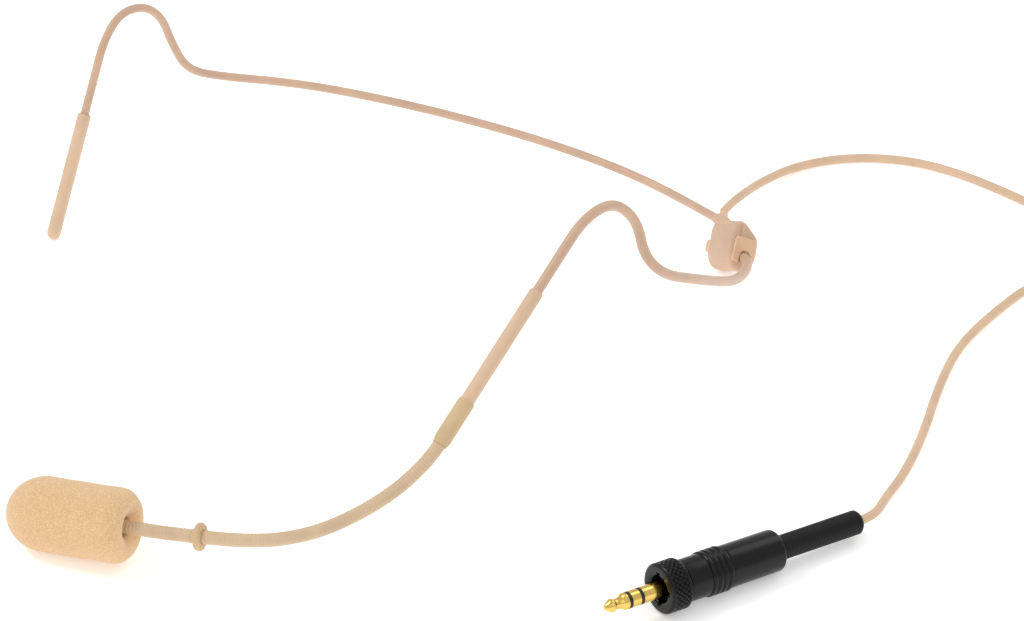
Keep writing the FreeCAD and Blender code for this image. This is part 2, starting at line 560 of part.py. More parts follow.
def plug_body():
    """The front body holds the contacts and the locking ring; its spigot carries the rear shell."""
    body, bore = "Sizes.front_body_diameter / 2", "Sizes.contact_diameter / 2 - 0.24"
    nose = "Sizes.lock_seat_diameter / 2 - Sizes.fit_gap"
    ring_end = "Sizes.lock_ring_start + Sizes.lock_ring_length"
    shoulder = ring_end + " + 0.3"
    end = "Sizes.front_body_end"
    spigot = "Sizes.shell_bore / 2 - 0.02"
    turned("plug_front_body", [(bore, ring_end + " - 1.7"), (nose, ring_end + " - 1.7"),
                               (nose, shoulder), (body, shoulder), (body, end), (spigot, end),
                               (spigot, end + " + 4"), (bore, end + " + 4")], PLUG)

    start, tail = "Sizes.shell_start", "Sizes.shell_end"
    outer, inner = "Sizes.shell_diameter / 2", "Sizes.shell_bore / 2"
    ridge = "Sizes.ridge_diameter / 2"
    outline = [(inner, start), (outer, start)]
    for i in range(4):
        foot = "%s + %d * Sizes.ridge_pitch" % (start, i)
        outline += [(ridge, foot + " + 0.35"), (ridge, foot + " + 0.85"), (outer, foot + " + 1.2")]
    back = "Sizes.shell_tail_diameter / 2"
    outline += [(back, tail + " - 1"), (back + " - 0.9", tail),
                ("Sizes.relief_diameter / 2 + 0.02", tail), ("Sizes.relief_diameter / 2 + 0.02", tail + " - 1.5"),
                (inner, tail + " - 1.5")]
    turned("plug_shell", outline, PLUG)


def plug_tail():
    tail, end = "Sizes.shell_end", "Sizes.relief_end"
    outer, flange = "Sizes.relief_diameter / 2", "Sizes.relief_flange_diameter / 2"
    turned("plug_strain_relief", [("0", tail + " - 4"), (flange, tail + " - 4"), (flange, tail + " - 1.6"),
                                  (outer, tail + " - 1.6"), (outer, end + " - 0.8"),
                                  (outer + " - 0.6", end), ("0", end)], PLUG)
    turned("plug_cable_clamp", sleeve("Sizes.shell_bore / 2 - 0.2", "Sizes.lead_diameter / 2 + 0.05",
                                      tail + " - 8", tail + " - 4.3"), PLUG)
    tags = []
    for i, turn in enumerate((0, 120, 240)):
        frame = PLUG.multiply(Placement(Vector(), Rotation(Vector(0, 0, 1), turn)))
        place = frame.multiply(Placement(Vector(1.4, -0.5, size("front_body_end") + 4.1), Rotation()))
        tags.append(primitive("Box", "solder_tag_%d" % i, place, Length="0.3", Width="1", Height="4"))
    group = doc.addObject("Part::Compound", "plug_solder_tags")
    group.Links = tags
    keep(group, "plug_solder_tags")


def check(everything):
    """Stops when an object failed, or a sub-part has no valid shape."""
    for piece in doc.Objects:
        if "Invalid" in piece.State or "Error" in piece.State:
            raise ValueError("failed: " + piece.Label)
    for piece in everything:
        if piece.Shape.isNull() or not piece.Shape.isValid():
            raise ValueError("no valid shape: " + piece.Label)


near_frame()
far_frame()
collar()
gooseneck()
stop_ring()
microphone()
windscreen()
junction_block()
lead()
contacts()
locking_ring()
plug_body()
plug_tail()
doc.recompute()
for piece in pieces:
    piece.Placement = Placement(MIDDLE, Rotation()).multiply(piece.Placement)
doc.recompute()
check(pieces)

os.makedirs("parts", exist_ok=True)
for piece in pieces:
    piece.Shape.exportStep("parts/%s.step" % piece.Label)
print(len(pieces), "sub-parts")
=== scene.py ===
import json
import math

import bmesh
import bpy
from mathutils import Matrix, Vector, noise


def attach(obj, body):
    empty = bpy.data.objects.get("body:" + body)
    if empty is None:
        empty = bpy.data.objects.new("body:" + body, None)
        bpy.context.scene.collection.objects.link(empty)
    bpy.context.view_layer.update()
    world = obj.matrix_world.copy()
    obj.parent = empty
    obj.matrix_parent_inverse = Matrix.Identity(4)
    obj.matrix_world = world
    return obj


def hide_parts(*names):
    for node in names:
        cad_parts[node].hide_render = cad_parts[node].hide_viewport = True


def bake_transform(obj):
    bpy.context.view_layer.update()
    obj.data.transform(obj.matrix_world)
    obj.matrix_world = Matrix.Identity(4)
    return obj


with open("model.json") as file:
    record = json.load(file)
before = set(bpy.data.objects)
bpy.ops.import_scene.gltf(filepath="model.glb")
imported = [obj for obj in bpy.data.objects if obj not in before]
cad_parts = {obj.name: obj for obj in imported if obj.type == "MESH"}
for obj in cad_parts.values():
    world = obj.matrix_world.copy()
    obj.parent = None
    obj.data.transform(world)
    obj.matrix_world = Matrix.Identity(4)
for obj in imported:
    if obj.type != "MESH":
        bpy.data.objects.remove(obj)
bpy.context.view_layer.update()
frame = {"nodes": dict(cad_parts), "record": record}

MM = 0.001
MIDDLE = Vector((1.94, -0.23, 0.0))      # where part.py moves the headset, in millimetres
LEAN = math.tan(math.radians(7.0))      # how far the hook planes lean inward
SHARP = math.radians(38.0)              # a bend between faces that shows as an edge


def at(x, y, z):
    """A point of the CAD model, given in part.py's millimetres."""
    return (Vector((x, y, z)) + MIDDLE) * MM


def near_at(y, z):
    return at(78.4 - LEAN * z, y, z)


def far_at(y, z):
    return at(-74.7 - LEAN * z, y, z)


# ---- shader nodes ----

def linear(r, g, b):
    """A colour given as on a screen, from 0 to 255, in linear light."""
    def one(c):
        c /= 255
        return c / 12.92 if c <= 0.04045 else ((c + 0.055) / 1.055) ** 2.4
    return one(r), one(g), one(b), 1.0


class Shader:
    """A material under construction: a Principled shader and the nodes that feed it."""

    def __init__(self, name, base, roughness, **values):
        self.material = bpy.data.materials.new(name)
        self.material.use_nodes = True
        self.tree = self.material.node_tree
        self.main = self.tree.nodes["Principled BSDF"]
        self.main.inputs["Base Color"].default_value = base
        self.main.inputs["Roughness"].default_value = roughness
        for socket, value in values.items():
            self.main.inputs[socket.replace("_", " ")].default_value = value
        self.place = self.add("ShaderNodeTexCoord").outputs["Object"]

    def add(self, kind, links=(), **values):
        node = self.tree.nodes.new(kind)
        for key, value in values.items():
            if key in node.inputs:
                node.inputs[key].default_value = value
            else:
                setattr(node, key, value)
        for socket, source in dict(links).items():
            self.tree.links.new(source, node.inputs[socket])
        return node

    def noise(self, scale, detail=3.0, roughness=0.55):
        node = self.add("ShaderNodeTexNoise", {"Vector": self.place}, Scale=scale, Detail=detail)
        node.inputs["Roughness"].default_value = roughness
        return node.outputs["Fac"]

    def cells(self, scale, feature="F1"):
        node = self.add("ShaderNodeTexVoronoi", {"Vector": self.place}, feature=feature)
        node.inputs["Scale"].default_value = scale
        return node.outputs["Distance"]

    def spread(self, source, low, high, to_low=0.0, to_high=1.0):
        node = self.add("ShaderNodeMapRange", {"Value": source})
        for socket, value in zip(("From Min", "From Max", "To Min", "To Max"),
                                 (low, high, to_low, to_high)):
            node.inputs[socket].default_value = value
        return node.outputs["Result"]

    def colour(self, factor, dark, light):
        node = self.add("ShaderNodeMix", data_type="RGBA")
        self.tree.links.new(factor, node.inputs[0])
        node.inputs[6].default_value, node.inputs[7].default_value = dark, light
        self.tree.links.new(node.outputs[2], self.main.inputs["Base Color"])

    def rough(self, factor, smooth, matte):
        self.tree.links.new(self.spread(factor, 0, 1, smooth, matte), self.main.inputs["Roughness"])

    def bump(self, heights):
        """Heights is a list of (source, strength, distance in metres), finest last."""
        normal = None
        for source, strength, distance in heights:
            node = self.add("ShaderNodeBump", {"Height": source}, Strength=strength, Distance=distance)
            if normal:
                self.tree.links.new(normal, node.inputs["Normal"])
            normal = node.outputs["Normal"]
        self.tree.links.new(normal, self.main.inputs["Normal"])


def moulded(name, base, roughness=0.5, shade=0.88, grain=0.00002, **values):
    """Moulded or coated plastic: faint mottling, a fine grain and uneven sheen."""
    shader = Shader(name, base, roughness, **values)
    mottle = shader.noise(160.0, 4.0)
    dark = tuple(c * shade for c in base[:3]) + (1.0,)
    shader.colour(shader.spread(mottle, 0.35, 0.65), dark, base)
    shader.rough(mottle, roughness - 0.08, roughness + 0.08)
    shader.bump([(shader.noise(900.0, 2.0), 0.25, grain * 2), (shader.noise(6000.0, 2.0), 0.3, grain)])
    return shader.material


def metal(name, base, roughness, scratch=2500.0, **values):
    """Plated, drawn or lacquered metal with fine wear in its gloss."""
    shader = Shader(name, base, roughness, **values)
    wear = shader.noise(scratch, 5.0, 0.7)
    dark = tuple(c * 0.86 for c in base[:3]) + (1.0,)
    shader.colour(shader.spread(shader.noise(300.0), 0.3, 0.7), dark, base)
    shader.rough(wear, roughness * 0.75, roughness * 1.3)
    shader.bump([(wear, 0.12, 0.00001)])
    return shader.material


def foam_material():
    """Open-cell foam: little pores darkened by painted shade between pale cell walls, and blotches of uneven
    tone.
    """
    shader = Shader("foam_open_cell", linear(233, 196, 148), 0.95)
    pores = shader.cells(3600.0)
    # the colour factor falls towards each pore: painted shade standing in for the shadow inside the open
    # cells
    cells = shader.spread(pores, 0.1, 0.7)
    blotch = shader.noise(1500.0, 4.0, 0.7)
    # the pores' painted shade times the foam's own blotchy tone
    pore_shade_and_blotch = shader.add("ShaderNodeMath", operation="MULTIPLY")
    shader.tree.links.new(cells, pore_shade_and_blotch.inputs[0])
    shader.tree.links.new(shader.spread(blotch, 0.25, 0.6, 0.6, 1.0), pore_shade_and_blotch.inputs[1])
    # the darker colour is the painted shade of the pores together with the foam's own darker blotches
    shader.colour(pore_shade_and_blotch.outputs[0], linear(207, 166, 121), linear(234, 199, 152))
    shader.bump([(blotch, 0.4, 0.00012), (pores, 0.5, 0.0001)])
    shader.main.inputs["Sheen Weight"].default_value = 0.25
    shader.main.inputs["Sheen Roughness"].default_value = 0.6
    shader.main.inputs["Specular IOR Level"].default_value = 0.2
    return shader.material


def make_materials():
    plastic = dict(Subsurface_Weight=0.12, Subsurface_Scale=0.0015)
    return {
        "foam": foam_material(),
        "rubber_ring": moulded("rubber_khaki", linear(208, 180, 138), 0.6),
        "gooseneck_jacket": moulded("gooseneck_jacket", linear(214, 187, 153), 0.55, **plastic),
        "coated_tube": moulded("coated_tube", linear(207, 173, 147), 0.42, **plastic),
        "beige_plastic": moulded("beige_plastic", linear(213, 178, 151), 0.45, **plastic),
        "tan_plastic": moulded("tan_plastic", linear(228, 189, 155), 0.5, **plastic),
        "steel": metal("steel_drawn", linear(176, 176, 178), 0.32, Metallic=1.0),
        "lead_jacket": moulded("lead_jacket", linear(221, 188, 157), 0.58),
        "conductor": moulded("conductor_enamel", linear(70, 70, 76), 0.35),
        "black_metal": metal("black_satin", linear(9, 9, 10), 0.26, Specular_IOR_Level=0.26),
        "black_rubber": moulded("black_rubber", linear(9, 9, 9), 0.42, 0.7, Specular_IOR_Level=0.26),
        "insulator": moulded("black_insulator", linear(14, 14, 16), 0.4, 0.7),
        "gold_plate": metal("gold_plate", linear(243, 205, 110), 0.16, Metallic=1.0),
        "aluminium": metal("aluminium_satin", linear(190, 188, 184), 0.4, Metallic=1.0),
    }


MATERIALS = make_materials()
NODE_SLOTS = {entry["node"]: entry["material_slot"] for entry in frame["record"]["subparts"]}
for node_name, node_object in frame["nodes"].items():
    for material_slot in node_object.material_slots:
        material_slot.material = MATERIALS[NODE_SLOTS[node_name]]


# ---- making pieces ----

def finish_piece(obj, body, slot_name, *nodes):
    """Gives a new piece its material and its body, and hides the CAD nodes that it stands for."""
    obj.data.materials.append(MATERIALS[slot_name])
    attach(obj, body)
    if nodes:
        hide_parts(*nodes)
    return obj


def link(name, data):
    obj = bpy.data.objects.new(name, data)
    bpy.context.scene.collection.objects.link(obj)
    return obj


def spline(name, points, diameter, resolution=6):
    """A round tube that follows a NURBS line with these control points, in metres."""
    curve = bpy.data.curves.new(name, "CURVE")
    curve.dimensions = "3D"
    curve.bevel_depth = diameter / 2
    curve.bevel_resolution = 5
    curve.use_fill_caps = True
    line = curve.splines.new("NURBS")
    line.points.add(len(points) - 1)
    for control, point in zip(line.points, points):
        control.co = (*point, 1.0)
    line.order_u = 3
    line.use_endpoint_u = True
    line.resolution_u = resolution
    return link(name, curve)


def grid(name, rings, capped=True, looped=False):
    """A mesh through rings of equally many points; looped joins the last ring to the first."""
    count = len(rings[0])
    points = [point for ring in rings for point in ring]
    faces = []
    spans = len(rings) if looped else len(rings) - 1
    for row in range(spans):
        low, high = row * count, (row + 1) % len(rings) * count
        for i in range(count):
            j = (i + 1) % count
            faces.append((low + i, low + j, high + j, high + i))
    if capped and not looped:
        faces.append(tuple(range(count - 1, -1, -1)))
        faces.append(tuple(range((len(rings) - 1) * count, len(rings) * count)))
    mesh = bpy.data.meshes.new(name)
    mesh.from_pydata(points, [], faces)
    outward = bmesh.new()
    outward.from_mesh(mesh)
    bmesh.ops.recalc_face_normals(outward, faces=outward.faces)
    outward.to_mesh(mesh)
    outward.free()
    mesh.shade_smooth()
    for cap in mesh.polygons[spans * count:]:
        cap.use_smooth = False
    mesh.set_sharp_from_angle(angle=SHARP)
    mesh.update()
    return link(name, mesh)


def frame_along(origin, direction):
    """Millimetres from origin, with Z along direction, as a matrix to metres."""
    turn = direction.to_track_quat("Z", "Y").to_matrix().to_4x4()
    return Matrix.Translation(origin) @ turn @ Matrix.Scale(MM, 4)


def softened(corners, steps=4):
    """An outline of (radius, height, rounding) corners, each rounded by an arc of that reach."""
    outline = []
    count = len(corners)
    for i, (radius, height, reach) in enumerate(corners):
        here = Vector((radius, height))
        if not reach:
            outline.append(here)
            continue
        before = Vector(corners[i - 1][:2]) - here
        after = Vector(corners[(i + 1) % count][:2]) - here
        first = here + before.normalized() * min(reach, before.length * 0.49)
        last = here + after.normalized() * min(reach, after.length * 0.49)
        for k in range(steps + 1):
            t = k / steps
            outline.append(first * (1 - t) ** 2 + here * 2 * t * (1 - t) + last * t * t)
    return outline


def turned(name, outline, place, segments=72, lift=None, looped=True):
    """A round piece with this outline of (radius, height). Lift adds height to the surface, by place."""
    rings = []
    for radius, height in outline:
        ring = []
        for i in range(segments):
            angle = 2 * math.pi * i / segments
            more = lift(radius, height, angle) if lift else 0.0
            ring.append(place @ Vector(((radius + more) * math.cos(angle), (radius + more) * math.sin(angle),
                                        height)))
        rings.append(ring)
    return grid(name, rings, looped=looped)


class Line:
    """A smooth line past control points, in metres, with a steady frame carried along it."""

    def __init__(self, controls, samples=24):
        controls = [Vector(point) for point in controls]
        self.spots, last = [], controls[0]
        for i in range(1, len(controls) - 1):
            end = controls[-1] if i == len(controls) - 2 else (controls[i] + controls[i + 1]) / 2
            for k in range(samples):
                t = k / samples
                self.spots.append(last * (1 - t) ** 2 + controls[i] * 2 * t * (1 - t) + end * t * t)
            last = end
        self.spots.append(last)
        self.ways, self.sides, self.marks = [], [], [0.0]
        for i, spot in enumerate(self.spots):
            step = self.spots[min(i + 1, len(self.spots) - 1)] - self.spots[max(i - 1, 0)]
            self.ways.append(step.normalized())
            side = self.sides[-1] if self.sides else self.ways[0].orthogonal()
            self.sides.append((side - self.ways[i] * side.dot(self.ways[i])).normalized())
            if i:
                self.marks.append(self.marks[-1] + (spot - self.spots[i - 1]).length)
        self.length = self.marks[-1]

    def at(self, distance):
        """The point, heading and sideways direction at a distance from the start."""
        distance = min(max(distance, 0.0), self.length)
        i = max(k for k, mark in enumerate(self.marks[:-1]) if mark <= distance)
        share = (distance - self.marks[i]) / (self.marks[i + 1] - self.marks[i])
        way = self.ways[i].lerp(self.ways[i + 1], share).normalized()
        side = self.sides[i].lerp(self.sides[i + 1], share)
        side = (side - way * side.dot(way)).normalized()
        return self.spots[i].lerp(self.spots[i + 1], share), way, side

    def tube(self, name, stations, segments=28):
        """A round tube with this (distance, radius) at each station, in metres."""
        rings = []
        for distance, radius in stations:
            spot, way, side = self.at(distance)
            up = way.cross(side)
            rings.append([spot + (side * math.cos(a) + up * math.sin(a)) * radius
                          for a in (2 * math.pi * i / segments for i in range(segments))])
        return grid(name, rings)


# ---- frame wires ----

NEAR_HOOK = [near_at(y, z) for y, z in
             [(13.5, 55.8), (19.4, 57.6), (24.1, 56.5), (28.7, 51.1), (29.7, 43.2), (34.7, 37.1)]]
FAR_HOOK = [far_at(y, z) for y, z in
            [(7.0, 40.8), (12.0, 45.9), (18.8, 45.8), (23.5, 41.5), (25.3, 34.7), (28.6, 27.4), (36.5, 23.2)]]
SLEEVE_FOOT = near_at(-19.6, 28.6)
ROD_AXIS = (NEAR_HOOK[0] - SLEEVE_FOOT).normalized()
FRAME_TUBE, BAND_WIRE = 2.2 * MM, 1.9 * MM
BAND_LAST = at(16.44, 95.58, 8.2)       # the band's last bend before the junction block
HOOK_LEAD_IN = 7.0 * MM                 # below each hook's first point, one more keeps its rod straight


def wire(name, points, diameter, body, slot_name, node):
    """A smooth coated wire in place of the CAD model's runs and arcs."""
    line = Line(points)
    steps = round(line.length / (0.7 * MM))
    piece = line.tube(name, [(line.length * k / steps, diameter / 2) for k in range(steps + 1)], 24)
    finish_piece(piece, body, slot_name, node)


def frame_wires():
    """The boom-side tube and the thinner band wire, each from its front rod into the junction block."""
    near = [SLEEVE_FOOT - ROD_AXIS * 4.8 * MM, NEAR_HOOK[0] - ROD_AXIS * HOOK_LEAD_IN] + NEAR_HOOK
    near += [at(70.5, 46.5, 30.3), at(62.5, 61.5, 20.6), at(53.6, 74.4, 12.2), at(48.0, 82.8, 8.9)]
    near += [BLOCK @ Vector((7.0, 0.15, -2.7)), BLOCK @ Vector((3.0, 0.15, -1.95))]
    wire("near_wire", near, FRAME_TUBE, "frame", "coated_tube", "near_frame_tube")
    foot, top = far_at(-13.0, 0.25), far_at(-0.2, 26.2)
    axis = (top - foot).normalized()
    far = [foot + axis * 2.5 * MM, FAR_HOOK[0] - axis * HOOK_LEAD_IN] + FAR_HOOK
    far += [at(-68.5, 52.5, 19.5), at(-54.0, 66.0, 16.5), at(-36.0, 78.3, 13.6), at(-18.0, 87.3, 11.4),
            at(0.0, 92.7, 10.0), BAND_LAST, BAND_ENTRY + BAND_AXIS * 7.6 * MM]
    wire("band_wire", far, BAND_WIRE, "band", "coated_tube", "band_coating")


# ---- boom ----

COLLAR_TIP = SLEEVE_FOOT - ROD_AXIS * 10.3 * MM
MOUTH, MIC_AXIS = at(43.4, -80.75, 9.1), Vector((-0.893, -0.4436, -0.072)).normalized()
BOOM = [COLLAR_TIP + ROD_AXIS * 0.8 * MM, COLLAR_TIP - ROD_AXIS * 1.2 * MM, at(75.6, -32.2, 18.6),
        at(75.0, -38.5, 15.3), at(73.7, -47.5, 12.7), at(71.7, -57.6, 11.4), at(66.6, -67.4, 11.2),
        at(50.9, -76.4, 9.4), MOUTH - MIC_AXIS * MM, MOUTH + MIC_AXIS * 7.0 * MM]
BENDS = [(BOOM[run] + BOOM[run + 1]) / 2 for run in (3, 5)]


RIB_PITCH, RIB_CREST, RIB_GROOVE = 0.75 * MM, 1.42 * MM, 1.34 * MM
RING_PLACE = 12.1 * MM                  # how far past BOOM[6] the stop ring sits


def ribbed(start, end):
    """Stations of a gooseneck's rounded ribs, in step with the whole line."""
    stations = [(start, RIB_GROOVE)]
    first, last = math.ceil(start / RIB_PITCH), math.floor(end / RIB_PITCH)
    for k in range(first, last):
        for share, height in ((0.0, 0.0), (0.16, 0.55), (0.34, 0.95), (0.5, 1.0), (0.66, 0.95), (0.84, 0.55)):
            radius = RIB_GROOVE + (RIB_CREST - RIB_GROOVE) * height
            stations.append(((k + share) * RIB_PITCH + 1e-6, radius))
    stations.append((end, RIB_GROOVE))
    return [station for station in stations if start <= station[0] <= end]


def gooseneck():
    """Two stretches of the gooseneck that meet in its middle section; each takes in one bend of the line."""
    line = Line(BOOM)
    marks = []
    for bend in BENDS:
        nearest = min(range(len(line.spots)), key=lambda i: (line.spots[i] - bend).length)
        marks.append(line.marks[nearest])
    halfway = round(sum(marks) / 2 / RIB_PITCH) * RIB_PITCH
    spans = ((0.0, halfway, marks[0], "boom_inner", "boom_middle", ("gooseneck_inner",)),
             (halfway, line.length, marks[1], "boom_middle", "boom_outer",
              ("gooseneck_middle", "gooseneck_outer")))
    for number, (start, end, mark, first, second, nodes) in enumerate(spans):
        piece = line.tube("gooseneck_%d" % number, ribbed(start, end))
        piece.data.materials.append(MATERIALS["gooseneck_jacket"])
        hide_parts(*nodes)
        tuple(line.at(mark - 4 * MM)[0])
        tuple(line.at(mark + 4 * MM)[0])
        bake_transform(piece)


def stop_ring():
    """A fat rubber ring that grips the gooseneck a little behind the windscreen."""
    run = (BOOM[7] - BOOM[6]).normalized()
    outline = softened([(1.43, -0.71, 0.15), (2.9, -0.71, 0.7), (2.9, 0.71, 0.7), (1.43, 0.71, 0.15)], 6)
    ring = turned("stop_ring_round", outline, frame_along(BOOM[6] + run * RING_PLACE, run), 64)
    finish_piece(ring, "ring_on_boom", "rubber_ring", "stop_ring")


gooseneck()
stop_ring()


# ---- windscreen ----

def foam_lift(place):
    """Pores and soft dents, in millimetres, for a point on the foam."""
    def lift(radius, height, angle):
        if radius < 2.3:
            return 0.0
        spot = Vector((radius * math.cos(angle), radius * math.sin(angle), height))
        pore = noise.noise(spot * 2.6) + 0.6 * noise.noise(spot * 5.2 + Vector((7, 3, 1)))
        return 0.035 * pore + 0.09 * noise.noise(spot * 0.35) - 0.03
    return lift


def windscreen():
    """A domed foam cover with a shallow dimple round its bore, which holds the capsule."""
    radius, length, rim, bore, bore_end, funnel = 7.7, 27.4, 4.8, 2.05, 19.0, 1.6
    dome, shoulder = 8.5, 3.2
    outline = []
    for k in range(13):
        t = k / 12
        outline.append((bore + 0.1 + (rim - bore - 0.1) * t, funnel * (1 - t) ** 2))
    for k in range(1, 15):
        turn = math.pi / 2 * k / 14
        outline.append((rim + (radius - rim) * math.sin(turn), shoulder * (1 - math.cos(turn))))
    side = 52
    for k in range(1, side + 1):
        outline.append((radius, shoulder + (length - dome - shoulder) * k / side))
    for k in range(1, 26):
        turn = math.pi / 2 * k / 26
        outline.append((radius * math.cos(turn), length - dome + dome * math.sin(turn)))
    outline += [(0.02, length), (0.02, bore_end), (bore, bore_end), (bore, 10.0), (bore, funnel + 0.2)]
    place = frame_along(MOUTH, MIC_AXIS)
    piece = turned("windscreen_foam", outline, place, 190, foam_lift(place))
    finish_piece(piece, "foam", "foam", "windscreen")


windscreen()


# ---- junction block ----

BLOCK_X = Vector((0.9086, -0.1271, 0.3979)).normalized()
BLOCK_Z = BLOCK_X.cross(Vector((0.3176, 0.829, -0.4604))).normalized()
BLOCK_Y = BLOCK_Z.cross(BLOCK_X)
BLOCK = Matrix.Translation(at(35.0, 91.5, 6.5)) @ Matrix((BLOCK_X, BLOCK_Y, BLOCK_Z)).transposed().to_4x4()
BLOCK = BLOCK @ Matrix.Scale(MM, 4)
BAND_ENTRY = BLOCK @ Vector((-5.2, -2.65, 5.49))
BAND_AXIS = (BAND_ENTRY - BAND_LAST).normalized()


def slab(name, corners, start, end, edge):
    """A prism along the block's X axis, from an outline of (y, z, rounding), with its ends rounded by edge.
    The corners run clockwise, so that the normals point into the outline."""
    outline = softened(corners, 5)
    count = len(outline)
    normals = []
    for i, point in enumerate(outline):
        run = outline[(i + 1) % count] - outline[i - 1]
        normals.append(Vector((run.y, -run.x)).normalized())
    turns = [math.pi / 2 * k / 6 for k in range(7)]
    rings = []
    for where, sign, order in ((start, -1, reversed(turns)), (end, 1, turns)):
        for turn in order:
            inset = edge * (1 - math.cos(turn))
            x = where - sign * edge * (1 - math.sin(turn))
            rings.append([BLOCK @ Vector((x, *(point + normal * inset)))
                          for point, normal in zip(outline, normals)])
    return grid(name, rings)


def junction_block():
    """A rounded eight-sided body, the wire holder that shows at both its ends, and the band's fairing."""
    section = [(-2.9, 5.2, 0.9), (-1.3, 5.4, 1.2), (3.2, 2.4, 1.5), (3.6, -2.6, 1.6), (1.6, -5.5, 1.4),
               (-1.8, -5.5, 1.4), (-3.5, -3.3, 1.3), (-3.9, 3.4, 1.3)]
    half_length = 4.7
    body = slab("junction_block_body", section, -half_length, half_length, 0.8)
    finish_piece(body, "frame", "beige_plastic", "junction_shell_near", "junction_shell_far")

    middle_y, middle_z, half = -0.15, -0.85, 2.8
    tube_y, arch_z, arch = 0.15, -2.3, 1.16
    low, high = middle_z - half, middle_z + half
    face = [(middle_y - half, low, 0.8), (middle_y - half, high, 0.8), (middle_y + half, high, 0.8),
            (middle_y + half, low, 0.8), (tube_y + arch, low, 0.2)]
    face += [(tube_y + arch * math.cos(turn), arch_z + arch * math.sin(turn), 0)
             for turn in (math.pi * k / 12 for k in range(13))]
    face += [(tube_y - arch, low, 0.2)]
    holder = slab("wire_holder_face", face, 3.0, 5.3, 0.3)
    finish_piece(holder, "frame", "tan_plastic", "wire_holder")

    stub_y, stub_z, stub = -1.7, -0.75, 1.4
    square = [(stub_y - stub, stub_z - stub, 0.8), (stub_y - stub, stub_z + stub, 0.8),
              (stub_y + stub, stub_z + stub, 0.8), (stub_y + stub, stub_z - stub, 0.8)]
    finish_piece(slab("wire_holder_stub", square, -6.9, -3.0, 0.8), "frame", "tan_plastic")

    fairing = [(0.02, -0.4, 0), (1.1, -0.4, 0.05), (1.35, 1.0, 0.5), (1.35, 4.4, 0.8), (0.9, 5.6, 0.5),
               (0.02, 5.8, 0)]
    place = frame_along(BAND_ENTRY, BAND_AXIS)
    finish_piece(turned("band_fairing", softened(fairing), place, 48, looped=False), "frame",
                 "beige_plastic")


junction_block()
frame_wires()


# ---- plug ----

PLUG_TIP, PLUG_AXIS = at(123.8, -26.2, 6.3), Vector((0.107, 0.9933, -0.0435)).normalized()
PLUG = frame_along(PLUG_TIP, PLUG_AXIS)
RELIEF_END = 63.2 * MM


GRIP_START, GRIP_END = 13.75, 17.65     # the knurled stretch of the locking ring
KNURL_GROOVES, KNURL_SLANT, KNURL_DEPTH = 14.0, 0.19, 0.32


def knurl(radius, height, angle):
    """Crossed grooves round the grip of the locking ring, and four small slots in its mouth."""
    if radius < 3.5 and height < 14.6:
        slot = math.cos(4 * angle + 0.6)
        return 0.5 * max(0.0, min(1.0, (slot - 0.72) * 12))
    if radius < 5.0 or not GRIP_START < height < GRIP_END:
        return 0.0
    fade = min(1.0, (height - GRIP_START) / 0.3, (GRIP_END - height) / 0.3)
    lead_angle = (height - (GRIP_START + GRIP_END) / 2) * KNURL_SLANT
    grooves = 0.0
    for turn in (angle + lead_angle, angle - lead_angle):
        wave = abs(math.sin(turn * KNURL_GROOVES))
        grooves = max(grooves, 1.0 - wave * 1.7)
    return -KNURL_DEPTH * max(0.0, grooves) * fade


